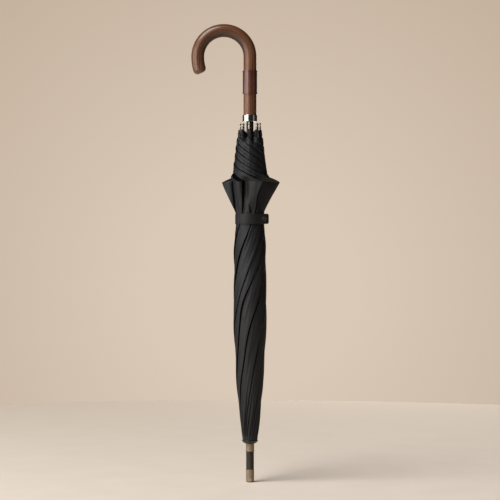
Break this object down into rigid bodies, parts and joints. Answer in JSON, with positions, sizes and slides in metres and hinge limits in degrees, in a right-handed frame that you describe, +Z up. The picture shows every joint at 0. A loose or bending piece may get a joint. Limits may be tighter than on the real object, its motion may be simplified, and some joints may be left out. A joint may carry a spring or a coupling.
{
  "type": "stick umbrella",
  "caption": "Closed stick umbrella with a crook handle, rolled and strapped canopy, folding ribs and stretchers on a sliding runner, and a long metal-tipped ferrule.",
  "frame": {"origin": "centre of the ferrule's flat foot, where the closed umbrella's tip meets the ground", "axes": "+Z up the shaft to the handle, the crook bends towards -X, the strap's button is on the -Y side"},
  "size_m": [0.1709, 0.111, 0.9],
  "materials": {
    "handle_wood": "satin varnish",
    "leather_band": "smooth",
    "chrome_collar": "polished",
    "shaft_steel": "polished dark nickel",
    "canopy_cloth": "matt woven",
    "strap_cloth": "matt woven",
    "strap_snap": "matt",
    "frame_steel": "black enamel",
    "nickel_tips": "satin nickel",
    "hinge_wire": "drawn",
    "runner_plastic": "matt moulded",
    "notch_plastic": "matt moulded",
    "spring_steel": "tempered",
    "cap_black": "satin black",
    "antique_brass": "aged and mottled",
    "ferrule_wood": "dark, fine grain",
    "rivet_brass": "bright rim"
  },
  "bodies": {
    "shaft": {"crook_handle": "handle_wood", "handle_sleeve": "leather_band", "handle_collar": "chrome_collar", "shaft_tube": "shaft_steel", "notch": "notch_plastic", "notch_wire": "hinge_wire", "runner_stop_pin": "spring_steel", "canopy_cap": "cap_black", "canopy_crown": "canopy_cloth", "ferrule_collar": "antique_brass", "ferrule_sleeve": "ferrule_wood", "ferrule_tip": "antique_brass", "ferrule_pin": "rivet_brass"},
    "top_catch": {"top_catch": "spring_steel"},
    "bottom_catch": {"bottom_catch": "spring_steel"},
    "runner": {"runner": "runner_plastic", "runner_wire": "hinge_wire"},
    "strap_flap": {"strap_flap": "strap_cloth", "strap_button": "strap_snap"},
    "rib_1": {"rib_1": "frame_steel", "rib_tip_1": "nickel_tips", "canopy_panel_1": "canopy_cloth", "tie_strap": "strap_cloth"},
    "stretcher_1": {"stretcher_1": "frame_steel"},
    "gore_1": {"gore_corner_1": "canopy_cloth"},
    "rib_2": {"rib_2": "frame_steel", "rib_tip_2": "nickel_tips", "canopy_panel_2": "canopy_cloth"},
    "stretcher_2": {"stretcher_2": "frame_steel"},
    "gore_2": {"gore_corner_2": "canopy_cloth"},
    "rib_3": {"rib_3": "frame_steel", "rib_tip_3": "nickel_tips", "canopy_panel_3": "canopy_cloth"},
    "stretcher_3": {"stretcher_3": "frame_steel"},
    "gore_3": {"gore_corner_3": "canopy_cloth"},
    "rib_4": {"rib_4": "frame_steel", "rib_tip_4": "nickel_tips", "canopy_panel_4": "canopy_cloth"},
    "stretcher_4": {"stretcher_4": "frame_steel"},
    "gore_4": {"gore_corner_4": "canopy_cloth"},
    "rib_5": {"rib_5": "frame_steel", "rib_tip_5": "nickel_tips", "canopy_panel_5": "canopy_cloth"},
    "stretcher_5": {"stretcher_5": "frame_steel"},
    "gore_5": {"gore_corner_5": "canopy_cloth"},
    "rib_6": {"rib_6": "frame_steel", "rib_tip_6": "nickel_tips", "canopy_panel_6": "canopy_cloth"},
    "stretcher_6": {"stretcher_6": "frame_steel"},
    "gore_6": {"gore_corner_6": "canopy_cloth"},
    "rib_7": {"rib_7": "frame_steel", "rib_tip_7": "nickel_tips", "canopy_panel_7": "canopy_cloth"},
    "stretcher_7": {"stretcher_7": "frame_steel"},
    "gore_7": {"gore_corner_7": "canopy_cloth"},
    "rib_8": {"rib_8": "frame_steel", "rib_tip_8": "nickel_tips", "canopy_panel_8": "canopy_cloth"},
    "stretcher_8": {"stretcher_8": "frame_steel"},
    "gore_8": {"gore_corner_8": "canopy_cloth"}
  },
  "joints": [
    {"name": "canopy_open", "type": "hinge", "parent": "shaft", "child": "rib_1", "pos_m": [-0.00077, -0.01097, 0.093], "axis": [0.9976, -0.0698, 0], "range_deg": [0, 70], "deforming": ["tie_strap", "strap_flap", "strap_button", "top_catch", "bottom_catch"]},
    {"name": "stretcher_1_pivot", "type": "hinge", "parent": "rib_1", "child": "stretcher_1", "pos_m": [-0.00112, -0.01596, 0.358], "axis": [0.9976, -0.0698, 0], "range_deg": [-140, 0]},
    {"name": "runner_pivot", "type": "hinge", "parent": "stretcher_1", "child": "runner", "pos_m": [-0.00077, -0.01097, 0.623], "axis": [0.9976, -0.0698, 0], "range_deg": [0, 70]},
    {"name": "gore_1_spread", "type": "slide", "parent": "rib_1", "child": "gore_1", "axis": [0.9275, 0.0691, -0.3673], "range_m": [0, 0.43223], "deforming": ["gore_corner_1"]},
    {"name": "rib_2_hinge", "type": "hinge", "parent": "shaft", "child": "rib_2", "pos_m": [0.00722, -0.0083, 0.093], "axis": [0.7547, 0.6561, 0], "range_deg": [0, 70]},
    {"name": "stretcher_2_pivot", "type": "hinge", "parent": "rib_2", "child": "stretcher_2", "pos_m": [0.0105, -0.01208, 0.358], "axis": [0.7547, 0.6561, 0], "range_deg": [-140, 0]},
    {"name": "gore_2_spread", "type": "slide", "parent": "rib_2", "child": "gore_2", "axis": [0.607, 0.7048, -0.3673], "range_m": [0, 0.43223], "deforming": ["gore_corner_2"]},
    {"name": "rib_3_hinge", "type": "hinge", "parent": "shaft", "child": "rib_3", "pos_m": [0.01097, -0.00077, 0.093], "axis": [0.0698, 0.9976, 0], "range_deg": [0, 70]},
    {"name": "stretcher_3_pivot", "type": "hinge", "parent": "rib_3", "child": "stretcher_3", "pos_m": [0.01596, -0.00112, 0.358], "axis": [0.0698, 0.9976, 0], "range_deg": [-140, 0]},
    {"name": "gore_3_spread", "type": "slide", "parent": "rib_3", "child": "gore_3", "axis": [-0.0691, 0.9275, -0.3673], "range_m": [0, 0.43223], "deforming": ["gore_corner_3"]},
    {"name": "rib_4_hinge", "type": "hinge", "parent": "shaft", "child": "rib_4", "pos_m": [0.0083, 0.00722, 0.093], "axis": [-0.6561, 0.7547, 0], "range_deg": [0, 70]},
    {"name": "stretcher_4_pivot", "type": "hinge", "parent": "rib_4", "child": "stretcher_4", "pos_m": [0.01208, 0.0105, 0.358], "axis": [-0.6561, 0.7547, 0], "range_deg": [-140, 0]},
    {"name": "gore_4_spread", "type": "slide", "parent": "rib_4", "child": "gore_4", "axis": [-0.7048, 0.607, -0.3673], "range_m": [0, 0.43223], "deforming": ["gore_corner_4"]},
    {"name": "rib_5_hinge", "type": "hinge", "parent": "shaft", "child": "rib_5", "pos_m": [0.00077, 0.01097, 0.093], "axis": [-0.9976, 0.0698, 0], "range_deg": [0, 70]},
    {"name": "stretcher_5_pivot", "type": "hinge", "parent": "rib_5", "child": "stretcher_5", "pos_m": [0.00112, 0.01596, 0.358], "axis": [-0.9976, 0.0698, 0], "range_deg": [-140, 0]},
    {"name": "gore_5_spread", "type": "slide", "parent": "rib_5", "child": "gore_5", "axis": [-0.9275, -0.0691, -0.3673], "range_m": [0, 0.43223], "deforming": ["gore_corner_5"]},
    {"name": "rib_6_hinge", "type": "hinge", "parent": "shaft", "child": "rib_6", "pos_m": [-0.00722, 0.0083, 0.093], "axis": [-0.7547, -0.6561, 0], "range_deg": [0, 70]},
    {"name": "stretcher_6_pivot", "type": "hinge", "parent": "rib_6", "child": "stretcher_6", "pos_m": [-0.0105, 0.01208, 0.358], "axis": [-0.7547, -0.6561, 0], "range_deg": [-140, 0]},
    {"name": "gore_6_spread", "type": "slide", "parent": "rib_6", "child": "gore_6", "axis": [-0.607, -0.7048, -0.3673], "range_m": [0, 0.43223], "deforming": ["gore_corner_6"]},
    {"name": "rib_7_hinge", "type": "hinge", "parent": "shaft", "child": "rib_7", "pos_m": [-0.01097, 0.00077, 0.093], "axis": [-0.0698, -0.9976, 0], "range_deg": [0, 70]},
    {"name": "stretcher_7_pivot", "type": "hinge", "parent": "rib_7", "child": "stretcher_7", "pos_m": [-0.01596, 0.00112, 0.358], "axis": [-0.0698, -0.9976, 0], "range_deg": [-140, 0]},
    {"name": "gore_7_spread", "type": "slide", "parent": "rib_7", "child": "gore_7", "axis": [0.0691, -0.9275, -0.3673], "range_m": [0, 0.43223], "deforming": ["gore_corner_7"]},
    {"name": "rib_8_hinge", "type": "hinge", "parent": "shaft", "child": "rib_8", "pos_m": [-0.0083, -0.00722, 0.093], "axis": [0.6561, -0.7547, 0], "range_deg": [0, 70]},
    {"name": "stretcher_8_pivot", "type": "hinge", "parent": "rib_8", "child": "stretcher_8", "pos_m": [-0.01208, -0.0105, 0.358], "axis": [0.6561, -0.7547, 0], "range_deg": [-140, 0]},
    {"name": "gore_8_spread", "type": "slide", "parent": "rib_8", "child": "gore_8", "axis": [0.7048, -0.607, -0.3673], "range_m": [0, 0.43223], "deforming": ["gore_corner_8"]},
    {"name": "top_catch_press", "type": "hinge", "parent": "shaft", "child": "top_catch", "pos_m": [0, -0.0051, 0.3503], "axis": [1, 0, 0], "range_deg": [0, 4.5], "stiffness_Nm_per_rad": 0.5},
    {"name": "bottom_catch_press", "type": "hinge", "parent": "shaft", "child": "bottom_catch", "pos_m": [0, -0.0051, 0.6144], "axis": [-1, 0, 0], "range_deg": [0, 4.5], "stiffness_Nm_per_rad": 0.5},
    {"name": "strap_flap_swing", "type": "hinge", "parent": "rib_1", "child": "strap_flap", "pos_m": [-0.02019, -0.02165, 0.517], "axis": [0, 0, -1], "range_deg": [0, 110]}
  ],
  "couplings": [
    {"joint": "stretcher_1_pivot", "follows": "canopy_open", "ratio": -2},
    {"joint": "runner_pivot", "follows": "canopy_open", "ratio": 1},
    {"joint": "gore_1_spread", "follows": "canopy_open", "m_per_rad": 0.35378},
    {"joint": "rib_2_hinge", "follows": "canopy_open", "ratio": 1},
    {"joint": "stretcher_2_pivot", "follows": "canopy_open", "ratio": -2},
    {"joint": "gore_2_spread", "follows": "canopy_open", "m_per_rad": 0.35378},
    {"joint": "rib_3_hinge", "follows": "canopy_open", "ratio": 1},
    {"joint": "stretcher_3_pivot", "follows": "canopy_open", "ratio": -2},
    {"joint": "gore_3_spread", "follows": "canopy_open", "m_per_rad": 0.35378},
    {"joint": "rib_4_hinge", "follows": "canopy_open", "ratio": 1},
    {"joint": "stretcher_4_pivot", "follows": "canopy_open", "ratio": -2},
    {"joint": "gore_4_spread", "follows": "canopy_open", "m_per_rad": 0.35378},
    {"joint": "rib_5_hinge", "follows": "canopy_open", "ratio": 1},
    {"joint": "stretcher_5_pivot", "follows": "canopy_open", "ratio": -2},
    {"joint": "gore_5_spread", "follows": "canopy_open", "m_per_rad": 0.35378},
    {"joint": "rib_6_hinge", "follows": "canopy_open", "ratio": 1},
    {"joint": "stretcher_6_pivot", "follows": "canopy_open", "ratio": -2},
    {"joint": "gore_6_spread", "follows": "canopy_open", "m_per_rad": 0.35378},
    {"joint": "rib_7_hinge", "follows": "canopy_open", "ratio": 1},
    {"joint": "stretcher_7_pivot", "follows": "canopy_open", "ratio": -2},
    {"joint": "gore_7_spread", "follows": "canopy_open", "m_per_rad": 0.35378},
    {"joint": "rib_8_hinge", "follows": "canopy_open", "ratio": 1},
    {"joint": "stretcher_8_pivot", "follows": "canopy_open", "ratio": -2},
    {"joint": "gore_8_spread", "follows": "canopy_open", "m_per_rad": 0.35378}
  ]
}
